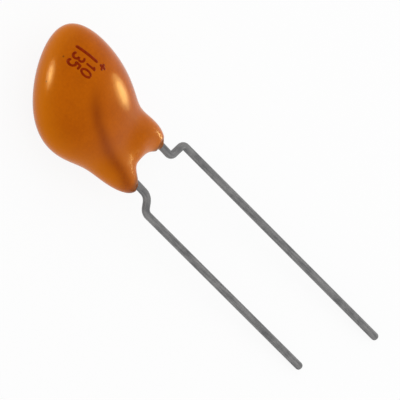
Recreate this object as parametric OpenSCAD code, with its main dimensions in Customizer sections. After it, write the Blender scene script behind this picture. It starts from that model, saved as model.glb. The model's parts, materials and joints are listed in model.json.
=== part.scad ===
// Radial tantalum capacitor: a sintered pellet dipped in glossy epoxy, on two formed wire leads.
// It is drawn along its leads, u towards the lead tips, v towards the positive lead and w out of
// the printed face, with the origin between the points where the leads leave the coat. It is then
// laid down the way it comes to rest, on its belly and both lead tips, with the floor at z = 0.

/* [Leads] */
// Diameter of the tinned lead wire
lead_d = 0.5; // [0.4:0.02:0.6]
// Distance between the straight parts of the leads
lead_pitch = 5.08; // [4.6:0.02:6.2]
// Length of the positive lead beyond the coat
plus_lead_len = 20.3; // [17.5:0.1:24]
// Length of the negative lead beyond the coat
minus_lead_len = 16.8; // [12:0.1:20]
// Distance between the leads where they leave the coat
exit_pitch = 3.0; // [2.8:0.02:3.3]
// Shift of both exits towards the positive side
exit_shift = -0.08; // [-0.2:0.02:0.1]
// Outward slope of the leads where they leave the coat
exit_splay = 8.5; // [4:0.5:12]
// Distance from the coat to the positive lead's first bend
plus_kink_at = 0.82; // [0.7:0.02:1.2]
// Distance from the coat to the negative lead's first bend
minus_kink_at = 0.92; // [0.7:0.02:1.2]
// Outward slope of the leads between their two bends
kink_angle = 56; // [45:1:65]
// Bend radius at the middle of the wire
bend_r = 0.42; // [0.36:0.02:0.5]
// Growth of the wire's diameter where it is bent
bend_swell = 0.01; // [0.006:0.002:0.03]
// Bevel left on the lead tips by the cutter
tip_bevel = 0.07; // [0.03:0.01:0.12]

/* [Pellet] */
// Length of the pellet, along the leads
pellet_len = 4.4; // [4.0:0.05:4.7]
// Width of the pellet, across the leads
pellet_w = 3.8; // [3.4:0.05:4.1]
// Thickness of the pellet, which has fully round sides
pellet_t = 2.8; // [2.4:0.05:3.0]
// Distance from the lead exits back to the middle of the pellet
pellet_back = 6.5; // [6.2:0.05:6.8]
// Thickness of the conductive cathode layer on the pellet
cathode_t = 0.06; // [0.04:0.01:0.1]
// Bare rim that the cathode layer leaves at the riser end
cathode_rim = 0.3; // [0.2:0.05:0.6]

/* [Riser] */
// Diameter of the riser wire
riser_d = 0.4; // [0.3:0.02:0.46]
// Length of the riser wire outside the pellet
riser_len = 2.0; // [1.8:0.05:2.3]
// Length of the riser wire inside the pellet
riser_root = 2.6; // [1.5:0.1:3.4]
// Length over which the riser is welded to the positive lead
weld_len = 1.0; // [0.7:0.05:1.2]
// Depth that the weld presses into each of the two wires
weld_sink = 0.03; // [0.02:0.01:0.05]
// Outer diameter of the washer on the riser
washer_d = 1.4; // [1.0:0.05:1.8]
// Thickness of the washer
washer_t = 0.25; // [0.15:0.05:0.4]

/* [Solder] */
// Length of negative lead that lies along the pellet
tail_len = 2.3; // [1.8:0.05:3.0]
// Wall of solder round the negative lead
solder_wall = 0.2; // [0.14:0.02:0.26]
// Film of solder between the negative lead and the cathode layer
solder_film = 0.05; // [0.03:0.01:0.08]
// Distance that the solder stops short of the cathode layer's rim
solder_short = 0.15; // [0.1:0.05:0.3]

/* [Dipped coat] */
// Coat at the two ends of the bulge
end_coat = 2.28; // [2.1:0.01:2.6]
// Coat at the two sides of the bulge
side_coat = 1.68; // [1.5:0.01:2.0]
// Coat on the front and back of the bulge
face_coat = 1.05; // [0.95:0.01:1.4]
// Lean of the bulge towards the negative side
bulge_lean = 37.3; // [30:0.1:45]
// Growth in the bulge's width from its middle to its lower end
bulge_swell = 0.32; // [0.2:0.01:0.4]
// Distance from the pellet's middle up to the bulge's
bulge_up = 0.49; // [0.4:0.01:0.6]
// Distance from the pellet's middle to the bulge's, towards the positive side
bulge_side = 0.29; // [0.2:0.01:0.4]
// Length of the drop that runs down the positive lead
plus_leg_len = 3.92; // [3.6:0.02:4.2]
// Width of the drop that runs down the positive lead
plus_leg_w = 2.56; // [2.4:0.02:2.8]
// Distance of that drop's lower end past the lead exits
plus_leg_end = 0.17; // [0.1:0.01:0.25]
// Distance of that drop's lower end inside the positive exit
plus_leg_in = 0.02; // [-0.1:0.01:0.1]
// Outward slope of that drop
plus_leg_lean = 13.2; // [8:0.1:18]
// Length of the drop that runs down the negative lead
minus_leg_len = 4.52; // [4.2:0.02:4.9]
// Width of the drop that runs down the negative lead
minus_leg_w = 1.77; // [1.65:0.01:2.0]
// Distance of that drop's lower end past the lead exits
minus_leg_end = 0.53; // [0.4:0.01:0.65]
// Distance of that drop's lower end outside the negative exit
minus_leg_out = 0.38; // [0.25:0.01:0.45]
// Inward slope of that drop
minus_leg_lean = 4.6; // [0:0.1:8]
// Softness of the blend between the two drops
leg_blend = 4.36; // [4.1:0.02:4.6]
// Softness of the blend between the bulge and the drops
bulge_blend = 3.18; // [2.9:0.02:3.5]
// Depth that the blended surface is drawn in by
coat_trim = 0.91; // [0.85:0.01:0.95]
// Distance from the leads to the notch that parts the legs
notch_wall = 0.75; // [0.7:0.01:0.85]
// Height of the notch's middle above the lead exits
notch_back = 0.04; // [0:0.01:0.2]
// Shift of the notch towards the positive side
notch_shift = 0.1; // [0:0.01:0.2]
// Steepness of the notch's wall
notch_slope = 0.6; // [0.5:0.01:0.8]
// Softness of the notch's rim
notch_blend = 0.81; // [0.7:0.01:0.9]

/* [Hidden] */
$fn = 48;

// Places along and across the leads
plus_exit = exit_pitch / 2 + exit_shift;
minus_exit = -exit_pitch / 2 + exit_shift;
pellet_low = -pellet_back + pellet_len / 2;
pellet_top = -pellet_back - pellet_len / 2;
riser_end = pellet_low + riser_len;
weld_start = riser_end - weld_len;
weld_face = riser_d / 2 - weld_sink;
rim_low = pellet_low - cathode_rim;

// Centre lines of the leads: tail, two inner bends, the kink outside the coat and the straight part
weld_v = weld_face + lead_d / 2 - weld_sink;
tail_v = -(pellet_w / 2 + cathode_t + solder_film + lead_d / 2);
tail_top = rim_low - tail_len;
splay = tan(exit_splay);
plus_kink_v = plus_exit + plus_kink_at * splay;
minus_kink_v = minus_exit - minus_kink_at * splay;
plus_straight_at = plus_kink_at + (lead_pitch / 2 - plus_kink_v) / tan(kink_angle);
minus_straight_at = minus_kink_at + (lead_pitch / 2 + minus_kink_v) / tan(kink_angle);
inner_run = 0.9;
bend_lap = sqrt(bend_r * bend_swell) / 2;
plus_line = [[weld_start, weld_v], [riser_end + lead_d / 2, weld_v],
             [-inner_run, plus_exit - inner_run * splay], [plus_kink_at, plus_kink_v],
             [plus_straight_at, lead_pitch / 2], [plus_lead_len, lead_pitch / 2]];
minus_line = [[tail_top, tail_v], [pellet_low + lead_d, tail_v],
              [-inner_run, minus_exit + inner_run * splay], [minus_kink_at, minus_kink_v],
              [minus_straight_at, -lead_pitch / 2], [minus_lead_len, -lead_pitch / 2]];

// The coat's surface is w = sqrt(swelling(u, v)): a leaning bulge blended with a long drop down each
// lead and drawn in, so that each drop runs out on its lead, less a soft notch between the legs.
bulge_half = [pellet_len / 2 + end_coat, pellet_w / 2 + side_coat];
bulge_mid = [-pellet_back - bulge_up, bulge_side];
plus_leg_tip = [plus_leg_end, plus_exit - plus_leg_in];
minus_leg_tip = [minus_leg_end, minus_exit - minus_leg_out];
notch_mid = [-notch_back, exit_shift + notch_shift];
notch_r = exit_pitch / 2 - lead_d / 2 - notch_wall;

function blend_out(a, b, soft) = (a + b + sqrt((a - b) ^ 2 + soft ^ 2)) / 2;
function blend_in(a, b, soft) = (a + b - sqrt((a - b) ^ 2 + soft ^ 2)) / 2;
function drop(p, mid, half, thick, lean, swell = 0) =
    let (q = p - mid)
    let (along = (q.x * cos(lean) + q.y * sin(lean)) / half.x)
    let (across = (q.y * cos(lean) - q.x * sin(lean)) / (half.y * (1 + swell * along)))
    thick ^ 2 * (1 - along ^ 2 - across ^ 2);
function leg(p, tip, len, w, lean) =
    drop(p, tip - len / 2 * [cos(lean), sin(lean)], [len / 2, w / 2], w / 2, lean);
function legs(p) = blend_out(leg(p, plus_leg_tip, plus_leg_len, plus_leg_w, plus_leg_lean),
                             leg(p, minus_leg_tip, minus_leg_len, minus_leg_w, minus_leg_lean),
                             leg_blend);
function bulge(p) = drop(p, bulge_mid, bulge_half, pellet_t / 2 + face_coat, -bulge_lean, bulge_swell);
function notch(p) = notch_slope * ((p - notch_mid) * (p - notch_mid) - notch_r ^ 2);
function swelling(p) = blend_in(blend_out(bulge(p), legs(p), bulge_blend) - coat_trim, notch(p), notch_blend);

// Rays from the pellet find the coat's outline, and rings inside it carry the two swollen faces.
ray_mid = [-pellet_back, 0.2];
ray_reach = 10;
ray_halvings = 30;
leg_rays = 72;
back_rays = 44;
leg_from = -34;
leg_to = 26;
face_rings = 18;
rays = [for (i = [0:leg_rays - 1]) leg_from + i * (leg_to - leg_from) / leg_rays,
        for (i = [0:back_rays - 1]) leg_to + i * (360 + leg_from - leg_to) / back_rays];
ray_count = leg_rays + back_rays;
function on_ray(angle, r) = ray_mid + r * [cos(angle), sin(angle)];
function outline_r(angle, low = 0, high = ray_reach, halvings = ray_halvings) =
    halvings == 0 ? low :
    let (mid = (low + high) / 2)
    swelling(on_ray(angle, mid)) > 0 ?
        outline_r(angle, mid, high, halvings - 1) :
        outline_r(angle, low, mid, halvings - 1);
outline = [for (angle = rays) outline_r(angle)];
function skin_ring(step, side) =
    [for (i = [0:ray_count - 1])
        let (p = on_ray(rays[i], outline[i] * sin(90 * step / face_rings)))
        [p.x, p.y, side * sqrt(max(swelling(p), 0))]];
rim_ring = [for (i = [0:ray_count - 1]) concat(on_ray(rays[i], outline[i]), 0)];
pole_w = sqrt(swelling(ray_mid));
skin_points = [concat(ray_mid, pole_w),
               for (step = [1:face_rings - 1]) each skin_ring(step, 1),
               each rim_ring,
               for (step = [face_rings - 1:-1:1]) each skin_ring(step, -1),
               concat(ray_mid, -pole_w)];
ring_count = 2 * face_rings - 1;
function skin_at(ring, i) = 1 + ring * ray_count + i % ray_count;
skin_faces = [for (i = [0:ray_count - 1]) [0, skin_at(0, i + 1), skin_at(0, i)],
              for (ring = [0:ring_count - 2]) for (i = [0:ray_count - 1])
                  each [[skin_at(ring, i), skin_at(ring, i + 1), skin_at(ring + 1, i + 1)],
                        [skin_at(ring, i), skin_at(ring + 1, i + 1), skin_at(ring + 1, i)]],
              for (i = [0:ray_count - 1])
                  [len(skin_points) - 1, skin_at(ring_count - 1, i), skin_at(ring_count - 1, i + 1)]];

// The floor is the plane w = floor_w + slope.x * u + slope.y * v that touches the belly and both
// lead tips. A few passes settle which point of the belly it touches.
tips = [[plus_lead_len - tip_bevel, lead_pitch / 2], [minus_lead_len - tip_bevel, -lead_pitch / 2]];
tip_skew = (tips[0].x - tips[1].x) / (tips[0].y - tips[1].y);
settle_passes = 6;
function lowest(slope) =
    let (heights = [for (p = skin_points) p.z - slope.x * p.x - slope.y * p.y])
    skin_points[search(min(heights), heights)[0]];
function tip_drop(slope) = lead_d / 2 * sqrt(1 + slope.y ^ 2);
function settle(slope, passes) =
    passes == 0 ? slope :
    let (belly = lowest(slope))
    let (run = belly.x - tips[0].x - tip_skew * (belly.y - tips[0].y))
    let (pitch = (belly.z + tip_drop(slope)) / run)
    settle([pitch, -pitch * tip_skew], passes - 1);
floor_slope = settle([0, 0], settle_passes);
up = [-floor_slope.x, -floor_slope.y, 1] / norm([floor_slope.x, floor_slope.y, 1]);
roll = atan2(up.y, up.z);
pitch_down = -atan2(up.x, norm([up.y, up.z]));
function turned(p) =
    let (y = p.y * cos(roll) - p.z * sin(roll))
    let (z = p.y * sin(roll) + p.z * cos(roll))
    [p.x * cos(pitch_down) + z * sin(pitch_down), y, z * cos(pitch_down) - p.x * sin(pitch_down)];
skin_turned = [for (p = skin_points) turned(p)];
tip_end = turned([plus_lead_len, lead_pitch / 2, 0]).x + (lead_d / 2 - tip_bevel) * abs(sin(pitch_down));
skin_x = [for (p = skin_turned) p.x];
skin_y = [for (p = skin_turned) p.y];
skin_z = [for (p = skin_turned) p.z];
rest_shift = -[(min(skin_x) + tip_end) / 2, (min(skin_y) + max(skin_y)) / 2, min(skin_z)];

module laid_down() {
    translate(rest_shift) rotate([roll, pitch_down, 0]) children();
}

// Turns a shape drawn along +Z to lie along u, starting at the given place
module along_u(from, across = 0) {
    translate([from, across, 0]) rotate([90, 0, 90]) children();
}

module wire_run(from, to, d) {
    step = to - from;
    translate(from) rotate([0, 0, atan2(step.y, step.x)]) rotate([0, 90, 0]) cylinder(d = d, h = norm(step));
}

// Straight end of a lead, turned about its own axis, with the cutter's bevel at the tip
module wire_tip(from, to) {
    r = lead_d / 2;
    len = norm(to - from);
    translate(from) rotate([0, 90, 0])
        rotate_extrude() polygon([[0, 0], [r, 0], [r, len - tip_bevel], [r - tip_bevel, len], [0, len]]);
}

// A formed lead: straight runs along a flat line of points that reach a little way into slightly
// swollen arcs at its corners, and a bevelled tip
module lead(line) {
    last = len(line) - 1;
    headings = [for (i = [0:last - 1]) atan2(line[i + 1].y - line[i].y, line[i + 1].x - line[i].x)];
    turns = [for (i = [1:last - 1]) headings[i] - headings[i - 1]];
    trims = [0, for (t = turns) bend_r * tan(abs(t) / 2), 0];
    laps = [0, for (t = turns) bend_lap, 0];
    for (i = [0:last - 1]) {
        heading = [cos(headings[i]), sin(headings[i])];
        from = line[i] + (trims[i] - laps[i]) * heading;
        to = line[i + 1] - (trims[i + 1] - laps[i + 1]) * heading;
        if (i < last - 1) wire_run(from, to, lead_d);
        else wire_tip(from, to);
    }
    for (i = [1:last - 1]) {
        side = sign(turns[i - 1]);
        inward = side * [-sin(headings[i - 1]), cos(headings[i - 1])];
        start = line[i] - trims[i] * [cos(headings[i - 1]), sin(headings[i - 1])];
        first = side > 0 ? headings[i - 1] - 90 : headings[i] + 90;
        translate(start + bend_r * inward) rotate([0, 0, first])
            rotate_extrude(angle = abs(turns[i - 1])) translate([bend_r, 0]) circle(d = lead_d + bend_swell);
    }
}

// Pellet section with round sides, grown by a layer's thickness
module pellet_section(grow = 0) {
    square([pellet_w - pellet_t, pellet_t + 2 * grow], center = true);
    for (side = [-1, 1]) translate([side * (pellet_w - pellet_t) / 2, 0]) circle(d = pellet_t + 2 * grow);
}

module pellet_block() {
    along_u(pellet_top) linear_extrude(pellet_len) pellet_section();
}

module cathode_block() {
    along_u(pellet_top - cathode_t) linear_extrude(rim_low - pellet_top + cathode_t) pellet_section(cathode_t);
}

module riser_round() {
    along_u(pellet_low - riser_root) cylinder(d = riser_d, h = riser_root + riser_len);
}

module riser_rod() {
    difference() {
        riser_round();
        translate([weld_start, weld_face, -riser_d]) cube([2 * weld_len, riser_d, 2 * riser_d]);
    }
}

module washer_disc(sunk = 0) {
    along_u(pellet_low - sunk) cylinder(d = washer_d, h = washer_t + sunk);
}

module positive_wire() {
    difference() {
        lead(plus_line);
        translate([weld_start - weld_len, weld_face - lead_d, -lead_d])
            cube([2 * weld_len, lead_d, 2 * lead_d]);
    }
}

module solder_bar() {
    along_u(tail_top - solder_wall, tail_v)
        linear_extrude(tail_len + solder_wall - solder_short) circle(d = lead_d + 2 * solder_wall);
}

// Everything that the coat closes round
module coat_core() {
    pellet_block();
    cathode_block();
    washer_disc(sunk = pellet_len / 4);
    riser_round();
    solder_bar();
    lead(plus_line);
    lead(minus_line);
}

module epoxy_coat() {
    color([0.69, 0.34, 0.01]) laid_down() difference() {
        polyhedron(skin_points, skin_faces);
        coat_core();
    }
}

module anode_pellet() {
    color([0.22, 0.22, 0.24]) laid_down() difference() {
        pellet_block();
        riser_rod();
    }
}

module cathode_layer() {
    color([0.72, 0.72, 0.7]) laid_down() difference() {
        cathode_block();
        pellet_block();
    }
}

module riser_wire() {
    color([0.45, 0.46, 0.5]) laid_down() riser_rod();
}

module riser_washer() {
    color("white") laid_down() difference() {
        washer_disc();
        riser_rod();
    }
}

module cathode_solder() {
    color([0.66, 0.67, 0.69]) laid_down() difference() {
        solder_bar();
        cathode_block();
        lead(minus_line);
    }
}

module positive_lead() {
    color([0.55, 0.55, 0.56]) laid_down() positive_wire();
}

module negative_lead() {
    color([0.55, 0.55, 0.56]) laid_down() lead(minus_line);
}

epoxy_coat();
anode_pellet();
cathode_layer();
riser_wire();
riser_washer();
cathode_solder();
positive_lead();
negative_lead();
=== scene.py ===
"""Dresses the dipped tantalum capacitor: glossy orange coat, tinned leads and a small ink print.

Everything is worked out along the leads (u towards the tips, v towards the positive lead, w out of
the printed face) in millimetres, and placed in the row frame by the two lead mounts.
"""
import json

import bpy
import numpy as np
from mathutils import Matrix


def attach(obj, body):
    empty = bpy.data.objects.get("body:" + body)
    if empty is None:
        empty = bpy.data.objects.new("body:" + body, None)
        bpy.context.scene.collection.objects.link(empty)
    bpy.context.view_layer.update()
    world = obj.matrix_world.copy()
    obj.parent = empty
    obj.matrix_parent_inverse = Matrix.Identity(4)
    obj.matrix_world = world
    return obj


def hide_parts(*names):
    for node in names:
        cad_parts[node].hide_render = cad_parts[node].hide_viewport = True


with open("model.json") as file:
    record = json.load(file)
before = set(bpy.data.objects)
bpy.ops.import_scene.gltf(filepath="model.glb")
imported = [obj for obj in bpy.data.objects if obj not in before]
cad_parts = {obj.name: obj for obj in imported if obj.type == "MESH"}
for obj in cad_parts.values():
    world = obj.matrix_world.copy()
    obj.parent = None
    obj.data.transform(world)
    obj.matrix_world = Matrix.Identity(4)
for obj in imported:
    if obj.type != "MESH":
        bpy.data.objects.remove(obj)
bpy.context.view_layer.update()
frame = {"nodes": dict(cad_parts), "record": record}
MM = 0.001

# Sizes of the leads, in millimetres
LEAD_D = 0.5
LEAD_R = LEAD_D / 2
LEAD_PITCH = 5.08
PLUS_LEN = 20.3
MINUS_LEN = 16.8
EXIT_PITCH = 3.0
EXIT_SHIFT = -0.08
PLUS_CRIMP = dict(at=0.86, splay=np.radians(-2), slope=np.radians(76), bends=(0.34, 0.34))
MINUS_CRIMP = dict(at=1.0, splay=np.radians(2), slope=np.radians(62), bends=(0.7, 0.5))
BEND_R = 0.42
INNER_RUN = 0.9
TIP_BEVEL = 0.07
TIP_LEN = 0.2
TIP_DRAW = 0.13
TIP_RINGS = 12
PLUS_EXIT = EXIT_PITCH / 2 + EXIT_SHIFT
MINUS_EXIT = -EXIT_PITCH / 2 + EXIT_SHIFT

# Sizes of the pellet and of what joins it to the leads
PELLET_LEN = 4.4
PELLET_W = 3.8
PELLET_T = 2.8
PELLET_BACK = 6.5
CATHODE_T = 0.06
CATHODE_RIM = 0.3
RISER_D = 0.4
RISER_LEN = 2.0
WELD_LEN = 1.0
WELD_SINK = 0.03
TAIL_LEN = 2.3
SOLDER_FILM = 0.05
PELLET_LOW = -PELLET_BACK + PELLET_LEN / 2
RISER_END = PELLET_LOW + RISER_LEN
WELD_START = RISER_END - WELD_LEN
WELD_V = RISER_D / 2 + LEAD_R - 2 * WELD_SINK
TAIL_V = -(PELLET_W / 2 + CATHODE_T + SOLDER_FILM + LEAD_R)
TAIL_TOP = PELLET_LOW - CATHODE_RIM - TAIL_LEN
TAIL_LOW = PELLET_LOW + LEAD_D

# Sizes of the dipped coat
END_COAT = 2.28
SIDE_COAT = 1.68
FACE_COAT = 1.05
BULGE_HALF = (PELLET_LEN / 2 + END_COAT, PELLET_W / 2 + SIDE_COAT)
BULGE_THICK = PELLET_T / 2 + FACE_COAT
BULGE_LEAN = np.radians(-37.3)
BULGE_SWELL = 0.32
BULGE_UP = 0.49
BULGE_SIDE = 0.29
BULGE_MID = (-PELLET_BACK - BULGE_UP, BULGE_SIDE)
PLUS_LEG = dict(tip=(0.17, PLUS_EXIT - 0.02), half=(1.96, 1.28), lean=np.radians(13.2))
MINUS_LEG = dict(tip=(0.53, MINUS_EXIT - 0.38), half=(2.26, 0.885), lean=np.radians(4.6))
LEG_BLEND = 4.36
BULGE_BLEND = 3.18
COAT_TRIM = 0.91
NOTCH_BACK = 0.04
NOTCH_SHIFT = 0.1
NOTCH_WALL = 0.75
NOTCH_MID = (-NOTCH_BACK, EXIT_SHIFT + NOTCH_SHIFT)
NOTCH_R = EXIT_PITCH / 2 - LEAD_R - NOTCH_WALL
NOTCH_SLOPE = 0.6
NOTCH_BLEND = 0.81
PLUS_END = dict(end=-0.1, exit_v=PLUS_EXIT, start_r=0.26, slope=0.64, reach=0.55)
MINUS_END = dict(end=-0.12, exit_v=MINUS_EXIT, start_r=0.27, slope=0.8, reach=0.4)
TAPER_BLEND = 0.06
RELEASE_SLOPE = 4.0
RELEASE_BLEND = 0.3

# The coat's rays: where they start, and the sector of the legs, in which they stand closer
RAY_MID = (-PELLET_BACK, 0.2)
LEGS_FROM = np.radians(-34)
LEGS_TO = np.radians(26)


def unit(vector):
    """A vector's direction, with a length of one."""
    return vector / np.linalg.norm(vector)


# The frame of the leads, from the two mounts of the record
mounts = {m["name"]: m for m in frame["record"]["mounts"]}
plus_pin = mounts["positive_lead_pin"]
minus_pin = mounts["negative_lead_pin"]
plus_pos = np.array(plus_pin["pos_m"])
U = unit(np.array(plus_pin["axis"]))
V = plus_pos - np.array(minus_pin["pos_m"])
V = unit(V - (V @ U) * U)
W = np.cross(U, V)
AXES = np.stack([U, V, W])
plus_middle = PLUS_LEN - TIP_BEVEL - plus_pin["dims"]["length_mm"] / 2
ORIGIN = plus_pos - MM * (plus_middle * U + LEAD_PITCH / 2 * V)


def placed(points):
    """Row-frame metres of points given as u, v, w in millimetres."""
    return ORIGIN + MM * (np.asarray(points) @ AXES)


def standing(right, up, back, spot):
    """Matrix of an object at a spot, with its own x, y and z along right, up and back."""
    matrix = np.eye(4)
    matrix[:3] = np.stack([right, up, back, spot], -1)
    return Matrix(matrix.tolist())


# Mesh helpers
def in_scene(name, data):
    """An object of this data, linked into the scene."""
    made = bpy.data.objects.new(name, data)
    bpy.context.scene.collection.objects.link(made)
    return made


def mesh_piece(name, verts, faces, material, replaces=()):
    """A smooth-shaded object at the origin from vertex and face arrays, riding on the part's body."""
    mesh = bpy.data.meshes.new(name)
    mesh.from_pydata(verts.tolist(), [], faces)
    mesh.polygons.foreach_set("use_smooth", np.ones(len(mesh.polygons), bool))
    mesh.update()
    mesh.materials.append(material)
    piece = in_scene(name, mesh)
    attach(piece, "root")
    if replaces:
        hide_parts(*replaces)
    return piece


def tube_faces(rings, sides, start=0):
    """Quads between closed rings laid one after another, then a fan onto each end's own centre point."""
    ring, side = np.meshgrid(np.arange(rings - 1), np.arange(sides), indexing="ij")
    near = start + ring * sides
    far = near + sides
    turn = (side + 1) % sides
    quads = np.stack([near + side, near + turn, far + turn, far + side], -1).reshape(-1, 4)
    along = np.arange(sides)
    onward = (along + 1) % sides
    last_ring = start + (rings - 1) * sides
    first_centre = start + rings * sides
    low = np.stack([np.full(sides, first_centre), start + onward, start + along], -1)
    high = np.stack([np.full(sides, first_centre + 1), last_ring + along, last_ring + onward], -1)
    return quads.tolist() + low.tolist() + high.tolist()


def with_ends(rings):
    """Vertices of a stack of rings followed by the centre of its first and last ring."""
    return np.concatenate([rings.reshape(-1, 3), rings[0].mean(0)[None], rings[-1].mean(0)[None]])


def circle(sides):
    """Angles of points spread evenly round a circle."""
    return np.linspace(0, 2 * np.pi, sides, endpoint=False)


def lengths_along(line):
    """Length of a line from its start to each of its points: the running sum of its steps."""
    return np.concatenate([[0], np.cumsum(np.linalg.norm(np.diff(line, axis=0), axis=1))])


def line_normals(line):
    """Unit normals of a flat line, a quarter turn from its direction."""
    tangent = np.gradient(line, axis=0)
    tangent = tangent / np.linalg.norm(tangent, axis=1)[:, None]
    return np.stack([-tangent[:, 1], tangent[:, 0]], -1)


# The coat's swelling
def blend_out(a, b, soft):
    """Smooth maximum of two fields."""
    return (a + b + np.sqrt((a - b) ** 2 + soft**2)) / 2


def blend_in(a, b, soft):
    """Smooth minimum of two fields."""
    return (a + b - np.sqrt((a - b) ** 2 + soft**2)) / 2


def drop(u, v, mid, half, thick, lean=0.0, swell=0.0):
    """Squared half-thickness of a leaning egg: thick squared times one minus its squared distances."""
    du, dv = u - mid[0], v - mid[1]
    along = (du * np.cos(lean) + dv * np.sin(lean)) / half[0]
    across = (dv * np.cos(lean) - du * np.sin(lean)) / (half[1] * (1 + swell * along))
    return thick**2 * (1 - along**2 - across**2)


def leg(u, v, tip, half, lean):
    """A long round drop whose lower end is at the tip."""
    mid = (tip[0] - half[0] * np.cos(lean), tip[1] - half[0] * np.sin(lean))
    return drop(u, v, mid, half, half[1], lean)


def taper(u, v, end, exit_v, start_r, slope, reach):
    """Limit that draws a leg's end into a cone on its lead, and lets go beyond the reach of the end."""
    cone = np.maximum(start_r + slope * (end - u), 0) ** 2 - (v - exit_v) ** 2
    away = RELEASE_SLOPE * ((u - end) ** 2 + (v - exit_v) ** 2 - reach**2)
    return blend_out(cone, away, RELEASE_BLEND)


def swelling(u, v):
    """Squared half-thickness of the coat.

    A bulge and two leg drops are blended and drawn in, less a soft notch, and tapered at the leads.
    """
    bulge = drop(u, v, BULGE_MID, BULGE_HALF, BULGE_THICK, BULGE_LEAN, BULGE_SWELL)
    legs = blend_out(leg(u, v, **PLUS_LEG), leg(u, v, **MINUS_LEG), LEG_BLEND)
    notch = NOTCH_SLOPE * ((u - NOTCH_MID[0]) ** 2 + (v - NOTCH_MID[1]) ** 2 - NOTCH_R**2)
    body = blend_in(blend_out(bulge, legs, BULGE_BLEND) - COAT_TRIM, notch, NOTCH_BLEND)
    for end in (PLUS_END, MINUS_END):
        body = blend_in(body, taper(u, v, **end), TAPER_BLEND)
    return body


def coat_height(u, v):
    """Height of the coat's front face above the plane of the leads: the root of the swelling."""
    return np.sqrt(np.maximum(swelling(u, v), 0))


def on_ray(radius, angles):
    """u and v of points at a radius along rays from the pellet."""
    return RAY_MID[0] + radius * np.cos(angles), RAY_MID[1] + radius * np.sin(angles)


def outline_radius(angles, reach=10.0, halvings=40):
    """Distance from the pellet to the coat's rim along each ray, by halving."""
    low, high = np.zeros_like(angles), np.full_like(angles, reach)
    for _ in range(halvings):
        middle = (low + high) / 2
        inside = swelling(*on_ray(middle, angles)) > 0
        low, high = np.where(inside, middle, low), np.where(inside, high, middle)
    return low


def coat_surface(leg_rays=200, back_rays=120, face_rings=64):
    """The coat as rings round the pellet, from the front to the back.

    Each ring is the rim scaled by a sine, lifted by plus or minus the root of the swelling.
    """
    angles = np.concatenate([np.linspace(LEGS_FROM, LEGS_TO, leg_rays, endpoint=False),
                             np.linspace(LEGS_TO, 2 * np.pi + LEGS_FROM, back_rays, endpoint=False)])
    steps = np.linspace(0, np.pi, 2 * face_rings + 1)[1:-1]
    u, v = on_ray(np.sin(steps)[:, None] * outline_radius(angles), angles)
    side = np.sign(face_rings - np.arange(1, 2 * face_rings))[:, None]
    verts = with_ends(np.stack([u, v, side * coat_height(u, v)], -1))
    pole = coat_height(*RAY_MID)
    verts[-2:] = [[*RAY_MID, pole], [*RAY_MID, -pole]]
    return verts, tube_faces(len(steps), len(angles))


# Materials
class Paint:
    """A node tree. node() adds any node, settings first and then its sockets, and gives a Socket."""

    def __init__(self, owner):
        owner.use_nodes = True
        self.owner = owner
        self.tree = owner.node_tree
        self.tree.nodes.clear()

    def node(self, kind, settings=None, sockets=None, out=0):
        made = self.tree.nodes.new(kind)
        for key, value in (settings or {}).items():
            setattr(made, key, value)
        for key, value in (sockets or {}).items():
            if isinstance(value, Socket):
                self.tree.links.new(value.socket, made.inputs[key])
            else:
                made.inputs[key].default_value = value
        return Socket(self, made.outputs[out]) if made.outputs else None

    def finish(self, shader, output="ShaderNodeOutputMaterial"):
        """Ends the tree in a shader, and gives the material or world that it belongs to."""
        self.node(output, sockets={"Surface": shader})
        return self.owner

    def surface(self, sockets):
        """Ends the tree in a Principled shader with these sockets."""
        return self.finish(self.node("ShaderNodeBsdfPrincipled", sockets=sockets))

    def seen(self):
        """1 for what the camera sees, straight or in a reflection or through glass."""
        return (self.node("ShaderNodeLightPath", out="Is Camera Ray")
                + self.node("ShaderNodeLightPath", out="Is Glossy Ray")
                + self.node("ShaderNodeLightPath", out="Is Transmission Ray"))

    def place_mm(self):
        """Object coordinates in millimetres."""
        place = self.node("ShaderNodeTexCoord", out="Object")
        return self.node("ShaderNodeVectorMath", {"operation": "SCALE"}, {0: place, "Scale": 1 / MM})

    def share(self, name):
        """A value that the piece keeps at each of its points."""
        return self.node("ShaderNodeAttribute", {"attribute_name": name}, out="Fac")

    def noise(self, place, scale, detail=2.0, rough=0.5):
        """Cloudy noise from 0 to 1, finer as the scale grows."""
        return self.node("ShaderNodeTexNoise", sockets={
            "Vector": place, "Scale": scale, "Detail": detail, "Roughness": rough})

    def bump(self, height, strength, depth):
        """A normal that follows a height, with the depth of its relief in millimetres."""
        return self.node("ShaderNodeBump", sockets={
            "Strength": strength, "Distance": depth * MM, "Height": height})

    def mix(self, share, a, b):
        """Colour a to colour b as share goes from 0 to 1, by the Mix node's colour sockets."""
        return self.node("ShaderNodeMix", {"data_type": "RGBA"}, {0: share, 6: a, 7: b}, out=2)

    def ramp(self, value, low, high):
        """0 below low, 1 above high, smooth between."""
        return self.node("ShaderNodeMapRange", {"interpolation_type": "SMOOTHSTEP"},
                         {"Value": value, "From Min": low, "From Max": high})


class Socket:
    """A socket that adds Math nodes when it is used in an expression."""

    def __init__(self, paint, socket):
        self.paint = paint
        self.socket = socket

    def math(self, operation, *values):
        return self.paint.node("ShaderNodeMath", {"operation": operation}, dict(enumerate(values)))

    def __add__(self, other):
        return self.math("ADD", self, other)

    def __radd__(self, other):
        return self.math("ADD", other, self)

    def __sub__(self, other):
        return self.math("SUBTRACT", self, other)

    def __rsub__(self, other):
        return self.math("SUBTRACT", other, self)

    def __mul__(self, other):
        return self.math("MULTIPLY", self, other)

    def __rmul__(self, other):
        return self.math("MULTIPLY", other, self)


def rgb(red, green, blue):
    """Linear colour, with alpha, of an sRGB colour given in 0 to 255."""
    s = np.array([red, green, blue]) / 255
    linear = np.where(s <= 0.04045, s / 12.92, ((s + 0.055) / 1.055) ** 2.4)
    return (*linear.tolist(), 1.0)


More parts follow.
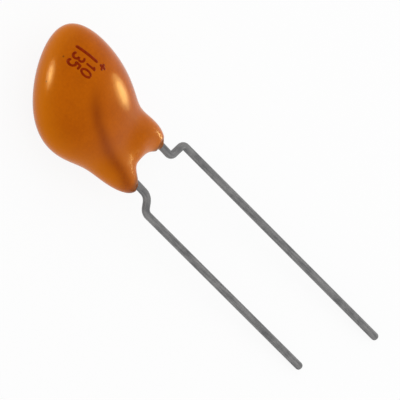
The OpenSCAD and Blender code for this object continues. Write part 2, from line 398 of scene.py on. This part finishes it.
# Colours and gloss of the finishes, and the part of a noise's range that a colour runs through
ORANGE_DEEP = rgb(170, 77, 0)
ORANGE_CLEAR = rgb(185, 89, 0)
# Paler orange of the thinner rim, brightened as a painted rim sheen
ORANGE_THIN_RIM_SHEEN = rgb(197, 104, 0)
# Painted shade along the spine, on a drip line of thicker coat
ORANGE_RUN_SHADE = rgb(142, 56, 0)
PIT_BROWN = rgb(82, 38, 6)
# Painted contact shade round the lead exits, with the brown of flux residue
COLLAR_FLUX_AND_SHADE = rgb(88, 44, 8)
TIN_DARK = rgb(88, 88, 89)
TIN_LIGHT = rgb(140, 139, 138)
INK_DARK = rgb(116, 14, 0)
INK_LIGHT = rgb(138, 30, 0)
GLOSS_IOR = 1.3
COAT_GLOSS = (1.0, 0.76, 0.16, 1.0)
INK_GLOSS = (1.0, 0.68, 0.12, 1.0)
NOISE_MIDDLE = (0.3, 0.7)


def epoxy_finish():
    """Glossy orange dip with a soft ripple.

    Its colour is cloudy and paler towards the rim, where a painted rim sheen goes. Painted shade darkens
    the spine along a drip line and, with flux residue, the lead exits; a few pits are darker.
    """
    paint = Paint(bpy.data.materials.new("orange_epoxy"))
    place = paint.place_mm()
    clouds = paint.noise(place, scale=0.45, detail=3.0)
    grain = paint.noise(place, scale=6.0)
    cells = paint.node("ShaderNodeTexVoronoi", {"feature": "F1"},
                       {"Vector": place, "Scale": 0.8}, out="Distance")
    pit = 1 - paint.ramp(cells, 0.03, 0.075)
    tone = paint.ramp(clouds * 0.6 + grain * 0.4, *NOISE_MIDDLE)
    body = paint.mix(tone, ORANGE_DEEP, ORANGE_CLEAR)
    # Paler towards the rim: thinner coat, with a painted rim sheen
    body = paint.mix(paint.ramp(paint.share("thin_rim_sheen"), 0.25, 1.0), body, ORANGE_THIN_RIM_SHEEN)
    # Painted shade along the spine, on a drip line of thicker coat
    body = paint.mix(paint.share("run") * (0.5 + grain * 0.6), body, ORANGE_RUN_SHADE)
    body = paint.mix(pit * 0.7, body, PIT_BROWN)
    # Painted contact shade round the lead exits, with the brown of flux residue
    body = paint.mix(paint.share("collar_shade") * 0.7, body, COLLAR_FLUX_AND_SHADE)
    ripple = paint.noise(place, scale=1.1) - pit * 0.6
    rough = 0.18 + paint.noise(place, scale=2.3) * 0.05 + paint.share("leg") * 0.03
    return paint.surface({
        "Base Color": body, "Roughness": rough, "Normal": paint.bump(ripple, strength=0.11, depth=0.02),
        "IOR": GLOSS_IOR, "Specular Tint": COAT_GLOSS})


def tinned_finish():
    """Dull tinned wire: drawing lines along the wire and blotches of tarnish."""
    paint = Paint(bpy.data.materials.new("tinned_wire"))
    along = paint.node("ShaderNodeUVMap", {"uv_map": "wire"})
    stretch = paint.node("ShaderNodeVectorMath", {"operation": "MULTIPLY"}, {0: along, 1: (0.6, 9.0, 1.0)})
    lines = paint.noise(stretch, scale=1.0, detail=3.0, rough=0.6)
    place = paint.place_mm()
    blotch = paint.noise(place, scale=1.6, detail=4.0, rough=0.6)
    speck = paint.noise(place, scale=14.0)
    tone = paint.ramp(lines * 0.5 + blotch * 0.4 + speck * 0.1, *NOISE_MIDDLE)
    relief = paint.bump(lines + speck * 0.3, strength=0.15, depth=0.004)
    return paint.surface({
        "Base Color": paint.mix(tone, TIN_DARK, TIN_LIGHT), "Roughness": 0.38 + blotch * 0.2,
        "Normal": relief, "Metallic": 0.55})


def ink_finish():
    """Dark red-brown marking ink, a little uneven."""
    paint = Paint(bpy.data.materials.new("marking_ink"))
    patch = paint.ramp(paint.noise(paint.place_mm(), scale=7.0, detail=3.0), *NOISE_MIDDLE)
    return paint.surface({
        "Base Color": paint.mix(patch, INK_DARK, INK_LIGHT), "Roughness": 0.3 + patch * 0.1,
        "IOR": GLOSS_IOR, "Specular Tint": INK_GLOSS})


def grainy_finish(name, dark, light, scale, metallic, rough):
    """A plain grainy finish for the pieces inside the coat."""
    paint = Paint(bpy.data.materials.new(name))
    grain = paint.noise(paint.place_mm(), scale, detail=4.0, rough=0.6)
    colour = paint.mix(paint.ramp(grain, *NOISE_MIDDLE), dark, light)
    return paint.surface({
        "Base Color": colour, "Roughness": rough + grain * 0.2, "Metallic": metallic,
        "Normal": paint.bump(grain, strength=0.4, depth=0.02)})


# Where the coat is thinner with a painted rim sheen, has painted shade or is a leg, as shares from 0 to 1
# at each of its points
COLLAR_R = 0.6
COLLAR_FADE = 0.55
LEG_TOP = -3.4
LEG_FADE = 1.6
RUN_LINE = ((-7.7, -0.05), (-6.9, -0.82), (-5.78, -1.5), (-4.07, -1.93), (-2.14, -2.08), (-0.9, -2.38))
RUN_STEPS = np.linspace(-12, 2, 200)
RUN_WIDTH = 0.42
RUN_TOP = -7.9
RUN_FADE = 1.4


def thin_rim_sheen_share(points):
    """0 where the coat is thickest, rising to 1 at its rim, where the paler colour and a painted rim sheen
    go.
    """
    height = np.abs(points[:, 2])
    return 1 - height / height.max()


def collar_shade_share(points):
    """1 on the coat round a lead's exit, falling to 0 a little way up the leg: where painted contact shade
    and flux residue go.
    """
    exits = np.array([[end["end"], end["exit_v"], 0.0] for end in (PLUS_END, MINUS_END)])
    away = np.min(np.linalg.norm(points[:, None] - exits, axis=2), axis=1)
    away = np.clip((away - COLLAR_R) / COLLAR_FADE, 0, 1)
    return 1 - away * away * (3 - 2 * away)


def leg_share(points):
    """0 on the bulge, rising evenly to 1 on the legs."""
    return np.clip((points[:, 0] - LEG_TOP) / LEG_FADE, 0, 1)


def run_share(points):
    """1 along the drip line of thicker coat that falls from the bulge to the short lead, where painted
    shade darkens the spine.

    It fades as a bell curve of the distance across the line, and evenly at its top.
    """
    u, v, w = points.T
    run_u, run_v = np.transpose(RUN_LINE)
    slant = np.gradient(np.interp(RUN_STEPS, run_u, run_v), RUN_STEPS)
    slant = np.interp(u, RUN_STEPS, slant)
    across = (v - np.interp(u, run_u, run_v)) / np.sqrt(1 + slant**2)
    top = np.clip((u - RUN_TOP) / RUN_FADE, 0, 1)
    return np.where(w > 0, np.exp(-(across / RUN_WIDTH) ** 2) * top, 0)


# The coat
COAT_SHARES = {"thin_rim_sheen": thin_rim_sheen_share, "collar_shade": collar_shade_share, "leg": leg_share, "run": run_share}
epoxy = epoxy_finish()
coat_verts, coat_faces = coat_surface()
coat = mesh_piece("dipped_coat", placed(coat_verts), coat_faces, epoxy, ["epoxy_coat"])
for name, share in COAT_SHARES.items():
    kept = coat.data.attributes.new(name, "FLOAT", "POINT")
    kept.data.foreach_set("value", share(coat_verts))


# The leads
def rounded_line(corners, radii, run_step=0.1, arc_steps=16):
    """Points along a flat line of corners, with each inner corner replaced by an arc of its radius."""
    corners = np.asarray(corners, float)
    steps = np.diff(corners, axis=0)
    heading = np.arctan2(steps[:, 1], steps[:, 0])
    turn = np.diff(heading)
    trim = np.concatenate([[0], np.asarray(radii) * np.tan(np.abs(turn) / 2), [0]])
    points = []
    for i, step in enumerate(steps):
        ahead = unit(step)
        begin, end = corners[i] + trim[i] * ahead, corners[i + 1] - trim[i + 1] * ahead
        count = max(int(np.linalg.norm(end - begin) / run_step), 2)
        points.append(begin + np.linspace(0, 1, count, endpoint=False)[:, None] * (end - begin))
        if i < len(turn):
            side = np.sign(turn[i])
            centre = end + radii[i] * side * np.array([-np.sin(heading[i]), np.cos(heading[i])])
            sweep = heading[i] + np.linspace(0, 1, arc_steps, endpoint=False) * turn[i]
            points.append(centre + radii[i] * side * np.stack([np.sin(sweep), -np.cos(sweep)], -1))
    points.append(corners[-1:])
    return np.concatenate(points)


def lay_wire_map(piece, lengths, angle):
    """UV map of a wire: the length along it and the way round it, both in millimetres."""
    loop_vertex = np.zeros(len(piece.data.loops), np.int64)
    piece.data.loops.foreach_get("vertex_index", loop_vertex)
    ring = np.minimum(loop_vertex // len(angle), len(lengths) - 1)
    around = angle[loop_vertex % len(angle)] * LEAD_R
    coords = np.stack([lengths[ring], around], -1)
    piece.data.uv_layers.new(name="wire").data.foreach_set("uv", coords.ravel())


def wire_piece(name, corners, radii, material, node, sides=40):
    """A round wire: a circle carried along a flat line, drawn in at its end to a rounded tip."""
    line = rounded_line(corners, radii)
    tip_steps = np.sin(np.linspace(0, np.pi / 2, TIP_RINGS + 1)[1:])
    tip = line[-1] - [TIP_LEN, 0]
    shank = line[:-1][line[:-1, 0] < tip[0]]
    line = np.concatenate([shank, tip[None], tip + np.outer(tip_steps, [TIP_LEN, 0])])
    radius = np.full(len(line), LEAD_R)
    radius[-TIP_RINGS:] = LEAD_R - TIP_DRAW * (1 - np.sqrt(np.maximum(1 - tip_steps**2, 0)))
    angle = circle(sides)
    flat = line[:, None] + (radius[:, None] * np.cos(angle))[..., None] * line_normals(line)[:, None]
    height = radius[:, None] * np.sin(angle)
    verts = with_ends(np.concatenate([flat, height[..., None]], -1))
    faces = tube_faces(len(line), sides)
    piece = mesh_piece(name, placed(verts), faces, material, [node])
    lay_wire_map(piece, lengths_along(line), angle)


def lead_corners(start, inner, exit_v, crimp, end, sign):
    """Corners of a lead: inner tail, slope to the exit, crimp outwards and the straight part."""
    splay = np.tan(crimp["splay"])
    kink_v = exit_v + sign * crimp["at"] * splay
    straight_v = sign * LEAD_PITCH / 2
    straight_at = crimp["at"] + abs(straight_v - kink_v) / np.tan(crimp["slope"])
    return [start, inner, (-INNER_RUN, exit_v - sign * INNER_RUN * splay), (crimp["at"], kink_v),
            (straight_at, straight_v), (end, straight_v)]


tinned = tinned_finish()
plus_tail = ((WELD_START, WELD_V), (RISER_END + LEAD_R, WELD_V))
minus_tail = ((TAIL_TOP, TAIL_V), (TAIL_LOW, TAIL_V))
plus_corners = lead_corners(*plus_tail, PLUS_EXIT, PLUS_CRIMP, PLUS_LEN, 1)
minus_corners = lead_corners(*minus_tail, MINUS_EXIT, MINUS_CRIMP, MINUS_LEN, -1)
plus_bends = (BEND_R, BEND_R, *PLUS_CRIMP["bends"])
minus_bends = (BEND_R, BEND_R, *MINUS_CRIMP["bends"])
wire_piece("long_lead", plus_corners, plus_bends, tinned, "positive_lead")
wire_piece("short_lead", minus_corners, minus_bends, tinned, "negative_lead")

# The print: strokes on the front face, in a frame whose up is +u and whose reading direction is -v
PRINT_MID = (-8.9, 0.76)
PRINT_TURN = np.radians(-2)
INK_LIFT = 0.012
STROKE_END = 0.2
DIGIT_STROKE = 0.15
DIGIT_PITCH = 0.52
DIGIT_ROWS = {"10": (-0.36, 0.06), "35": (-0.36, -0.8)}
BAR_STROKE = 0.2
BAR_RIGHT = -0.66
BAR_LOW = -0.95
BAR_HIGH = 0.62
SIGN_STROKE = 0.19
SIGN_HALF = 0.25
SIGN_UP = 1.06


def print_place(points):
    """u and v of print points given as right and up, in millimetres from the print's middle."""
    right = np.array([np.sin(PRINT_TURN), -np.cos(PRINT_TURN)])
    up = np.array([np.cos(PRINT_TURN), np.sin(PRINT_TURN)])
    points = np.asarray(points, float)
    return PRINT_MID + points[:, :1] * right + points[:, 1:] * up


def stroke_surface(points, width, sides=10, step=0.02):
    """A flat rounded bead of ink: an ellipse carried along a line that lies on the coat's front face."""
    line = print_place(points)
    lengths = lengths_along(line)
    along = np.linspace(0, lengths[-1], max(int(lengths[-1] / step), 4))
    line = np.stack([np.interp(along, lengths, line[:, k]) for k in (0, 1)], -1)
    angle = circle(sides)
    edge = np.minimum(np.minimum(along, along[::-1]) / (width / 2), 1)
    half = width / 2 * np.sqrt(np.maximum(1 - (1 - edge) ** 2, STROKE_END**2))
    flat = line[:, None] + (half[:, None] * np.cos(angle))[..., None] * line_normals(line)[:, None]
    height = coat_height(flat[..., 0], flat[..., 1]) + INK_LIFT * np.sin(angle)
    rings = np.concatenate([flat, height[..., None]], -1)
    return with_ends(rings), len(line), sides


def arc(mid, radii, start, end, count=24):
    """Points on an ellipse's arc, between two angles in degrees."""
    angle = np.radians(np.linspace(start, end, count))
    return np.stack([mid[0] + radii[0] * np.cos(angle), mid[1] + radii[1] * np.sin(angle)], -1)


# Strokes of the digits, each measured from the lower left corner of its digit
GLYPHS = {
    "1": [[(0.1, 0.5), (0.25, 0.66), (0.25, 0.0)]],
    "0": [arc((0.24, 0.33), (0.19, 0.33), 90, 450, 40)],
    "3": [np.concatenate([arc((0.21, 0.495), (0.18, 0.165), 150, -90),
                          arc((0.21, 0.17), (0.2, 0.17), 90, -150)])],
    "5": [np.concatenate([[(0.4, 0.66), (0.09, 0.66), (0.06, 0.37)],
                          arc((0.21, 0.21), (0.19, 0.21), 120, -140)])],
}


def row_strokes(digits, corner):
    """Strokes of a row of digits from its lower left corner."""
    return [np.asarray(stroke) + (corner[0] + DIGIT_PITCH * i, corner[1])
            for i, digit in enumerate(digits) for stroke in GLYPHS[digit]]


def print_strokes():
    """Every stroke with its width: two rows of digits, the polarity bar and the plus sign."""
    strokes = [(line, DIGIT_STROKE) for row in DIGIT_ROWS.items() for line in row_strokes(*row)]
    bar = [(BAR_RIGHT, BAR_LOW), (BAR_RIGHT, BAR_HIGH)]
    level = [(BAR_RIGHT - SIGN_HALF, SIGN_UP), (BAR_RIGHT + SIGN_HALF, SIGN_UP)]
    upright = [(BAR_RIGHT, SIGN_UP - SIGN_HALF), (BAR_RIGHT, SIGN_UP + SIGN_HALF)]
    return strokes + [(bar, BAR_STROKE), (level, SIGN_STROKE), (upright, SIGN_STROKE)]


def print_piece(material):
    """All strokes of the print as one mesh of closed beads."""
    verts, faces, start = [], [], 0
    for line, width in print_strokes():
        points, rings, sides = stroke_surface(line, width)
        verts.append(points)
        faces.extend(tube_faces(rings, sides, start))
        start += len(points)
    return mesh_piece("marking_print", placed(np.concatenate(verts)), faces, material)


marking = print_piece(ink_finish())

# The pieces inside the coat keep their solids: finish, dark, light, scale of grain, metallic, roughness
INNER_FINISHES = {
    "anode_pellet": ("sintered_powder", rgb(42, 42, 46), rgb(74, 74, 80), 9.0, 0.6, 0.6),
    "cathode_layer": ("silver_paint", rgb(168, 168, 163), rgb(206, 206, 200), 6.0, 0.7, 0.4),
    "riser_wire": ("riser_metal", rgb(98, 100, 108), rgb(132, 134, 142), 5.0, 1.0, 0.3),
    "riser_washer": ("washer_plastic", rgb(226, 226, 220), rgb(242, 242, 238), 4.0, 0.0, 0.4),
    "cathode_solder": ("soft_solder", rgb(158, 160, 164), rgb(196, 198, 202), 4.0, 1.0, 0.25),
}
for node, finish in INNER_FINISHES.items():
    solid = frame["nodes"][node].data
    solid.materials.clear()
    solid.materials.append(grainy_finish(*finish))

# Stage: the radii of the floor's rings in metres, and the levels of soft light
FLOOR_RINGS = np.array([0.02, 0.2, 2.0])
FLOOR_SIDES = 96
FLOOR_GLOW = 0.9
WHITE = (1.0, 1.0, 1.0, 1.0)
PAPER = (0.85, 0.85, 0.85, 1.0)
HORIZON_LEVEL = 1.2
ZENITH_LEVEL = 0.62


def floor_finish():
    """White paper that stays white to the camera and in reflections, and takes the object's shadow."""
    paint = Paint(bpy.data.materials.new("white_paper"))
    paper = paint.node("ShaderNodeBsdfDiffuse", sockets={"Color": PAPER})
    glow = paint.node("ShaderNodeEmission", sockets={"Color": WHITE, "Strength": 1.0})
    glowing = paint.seen() * FLOOR_GLOW
    return paint.finish(paint.node("ShaderNodeMixShader", sockets={0: glowing, 1: paper, 2: glow}))


def floor_piece():
    """A flat round sheet of paper: rings of growing radius, with one face inside the smallest."""
    angle = circle(FLOOR_SIDES)
    radius = FLOOR_RINGS[:, None]
    rings = np.stack([radius * np.cos(angle), radius * np.sin(angle), 0 * radius * angle], -1)
    ring, side = np.meshgrid(np.arange(len(FLOOR_RINGS) - 1), np.arange(FLOOR_SIDES), indexing="ij")
    near = ring * FLOOR_SIDES
    far = near + FLOOR_SIDES
    turn = (side + 1) % FLOOR_SIDES
    quads = np.stack([near + side, far + side, far + turn, near + turn], -1).reshape(-1, 4)
    mesh = bpy.data.meshes.new("floor")
    mesh.from_pydata(rings.reshape(-1, 3).tolist(), [], quads.tolist() + [list(range(FLOOR_SIDES))])
    mesh.materials.append(floor_finish())
    floor = in_scene("floor", mesh)


def world_light():
    """White light, blended from the horizon's level to the zenith's as the direction rises.

    To the camera and in reflections the world is plain white.
    """
    world = bpy.data.worlds.new("studio")
    bpy.context.scene.world = world
    paint = Paint(world)
    heading = paint.node("ShaderNodeTexCoord", out="Generated")
    rise = paint.ramp(paint.node("ShaderNodeSeparateXYZ", sockets={0: heading}, out="Z"), 0.0, 1.0)
    level = HORIZON_LEVEL + rise * (ZENITH_LEVEL - HORIZON_LEVEL)
    even = paint.node("ShaderNodeBackground", sockets={"Color": WHITE, "Strength": level})
    white = paint.node("ShaderNodeBackground", sockets={"Color": WHITE, "Strength": 1.0})
    sky = paint.node("ShaderNodeMixShader", sockets={0: paint.seen(), 1: even, 2: white})
    paint.finish(sky, "ShaderNodeOutputWorld")


floor_piece()
world_light()

# Lamps: the two ends of each, its width, the point it faces, its radiance and, for a window, its colour
STUDIO_LAMPS = {
    "top_light": (((-150, 0, 260), (150, 0, 260)), 300, (0, 0, 0), 0.3),
    "side_light": (((90, 80, -10), (90, 80, 120)), 80, (-5, 0, 0), 1.5),
    "back_light": (((-100, 70, -10), (-100, 70, 90)), 80, (-5, 0, 0), 0.9),
}
BEAM = np.radians(28)
WARM = (1.0, 0.88, 0.45)
COOL = (0.95, 1.0, 1.4)
FACE_SPOT = (-5.55, 0.82, 2.11)
FLANK_SPOT = (-9.86, -0.81, 0.64)
WINDOWS = {
    "face_window": (((-4.1, 4.02, 3.8), (-1.9, 3.03, 3.15)), 1.4, FACE_SPOT, 15.0, WARM),
    "face_window_frame": (((-4.9, 4.38, 4.04), (-1.4, 2.8, 3.0)), 2.6, FACE_SPOT, 10.0, WARM),
    "notch_window": (((-0.88, -0.53, 1.68), (-0.56, -0.22, 1.2)), 0.14, (-2.0, -0.9, 0.88), 13.0, WARM),
    "lip_window": (((-0.64, -0.25, 1.26), (0.1, -0.78, 1.09)), 0.1, (-1.4, -1.45, 0.8), 14.0, WARM),
    "leg_window": (((2.3, 2.2, 0.9), (0.1, 3.8, 1.7)), 0.4, (-1.1, 1.4, 0.9), 25.0, WARM),
    "flank_window": (((-16.25, -1.66, -1.08), (-15.95, -3.34, 0.48)), 1.9, FLANK_SPOT, 21.0, COOL),
    "flank_window_frame": (((-16.38, -0.9, -1.8), (-15.82, -4.1, 1.2)), 3.7, FLANK_SPOT, 14.5, COOL),
}


def oval_lamp(name, ends, width, aim, radiance, colour=WHITE[:3]):
    """An oval lamp between two end points, facing a point of the part, all in the frame of the leads.

    Its power is pi times its radiance times its area.
    """
    ends = np.asarray(ends, float)
    middle = ends.mean(0)
    out = unit((middle - aim) @ AXES)
    side = (ends[1] - ends[0]) @ AXES
    lamp = bpy.data.lights.new(name, "AREA")
    lamp.shape = "ELLIPSE"
    lamp.size, lamp.size_y = width * MM, np.linalg.norm(side) * MM
    lamp.energy = radiance * np.pi**2 / 4 * lamp.size * lamp.size_y
    lamp.color = colour
    side = unit(side - (side @ out) * out)
    box = in_scene(name, lamp)
    box.matrix_world = standing(np.cross(side, out), side, out, placed(middle))
    box.visible_camera = False
    return box


def studio_lamp(name, *lamp):
    """A large lamp that gives soft light and does not show in gloss."""
    oval_lamp(name, *lamp).visible_glossy = False


def window_lamp(name, lit, *lamp):
    """A small lamp that shows only in the gloss of a group of pieces, as a window does.

    Its beam is narrow. That makes it stronger along its middle, so its power is multiplied by one
    minus the beam's half angle over its tangent, which keeps the radiance as it is given.
    """
    box = oval_lamp(name, *lamp)
    box.visible_diffuse = False
    box.light_linking.receiver_collection = lit
    box.data.spread = 2 * BEAM
    box.data.energy *= 1 - BEAM / np.tan(BEAM)


coat_lit = bpy.data.collections.new("coat_lit")
for piece in (coat, marking):
    coat_lit.objects.link(piece)
for name, lamp in STUDIO_LAMPS.items():
    studio_lamp(name, *lamp)
for name, lamp in WINDOWS.items():
    window_lamp(name, coat_lit, *lamp)

# Camera of the photograph, in the frame of the leads
VIEW_MID = (4.28, 0.69, 0.0)
VIEW_RIGHT = np.array([0.6247, 0.4998, 0.6])
VIEW_UP = np.array([-0.6247, 0.7809, 0.0])
VIEW_WIDTH = 24.57
VIEW_DISTANCE = 900.0
SENSOR = 36.0


def photo_camera():
    """A long lens square to the photograph's plane."""
    data = bpy.data.cameras.new("photo_camera")
    data.sensor_width = SENSOR
    data.lens = SENSOR * VIEW_DISTANCE / VIEW_WIDTH
    data.clip_start = 0.01
    data.clip_end = 20.0
    camera = in_scene("photo_camera", data)
    right, up = unit(VIEW_RIGHT @ AXES), unit(VIEW_UP @ AXES)
    back = np.cross(right, up)
    camera.matrix_world = standing(right, up, back, placed(VIEW_MID) + MM * VIEW_DISTANCE * back)
    bpy.context.scene.camera = camera


photo_camera()
bpy.context.scene.view_settings.view_transform = "Standard"
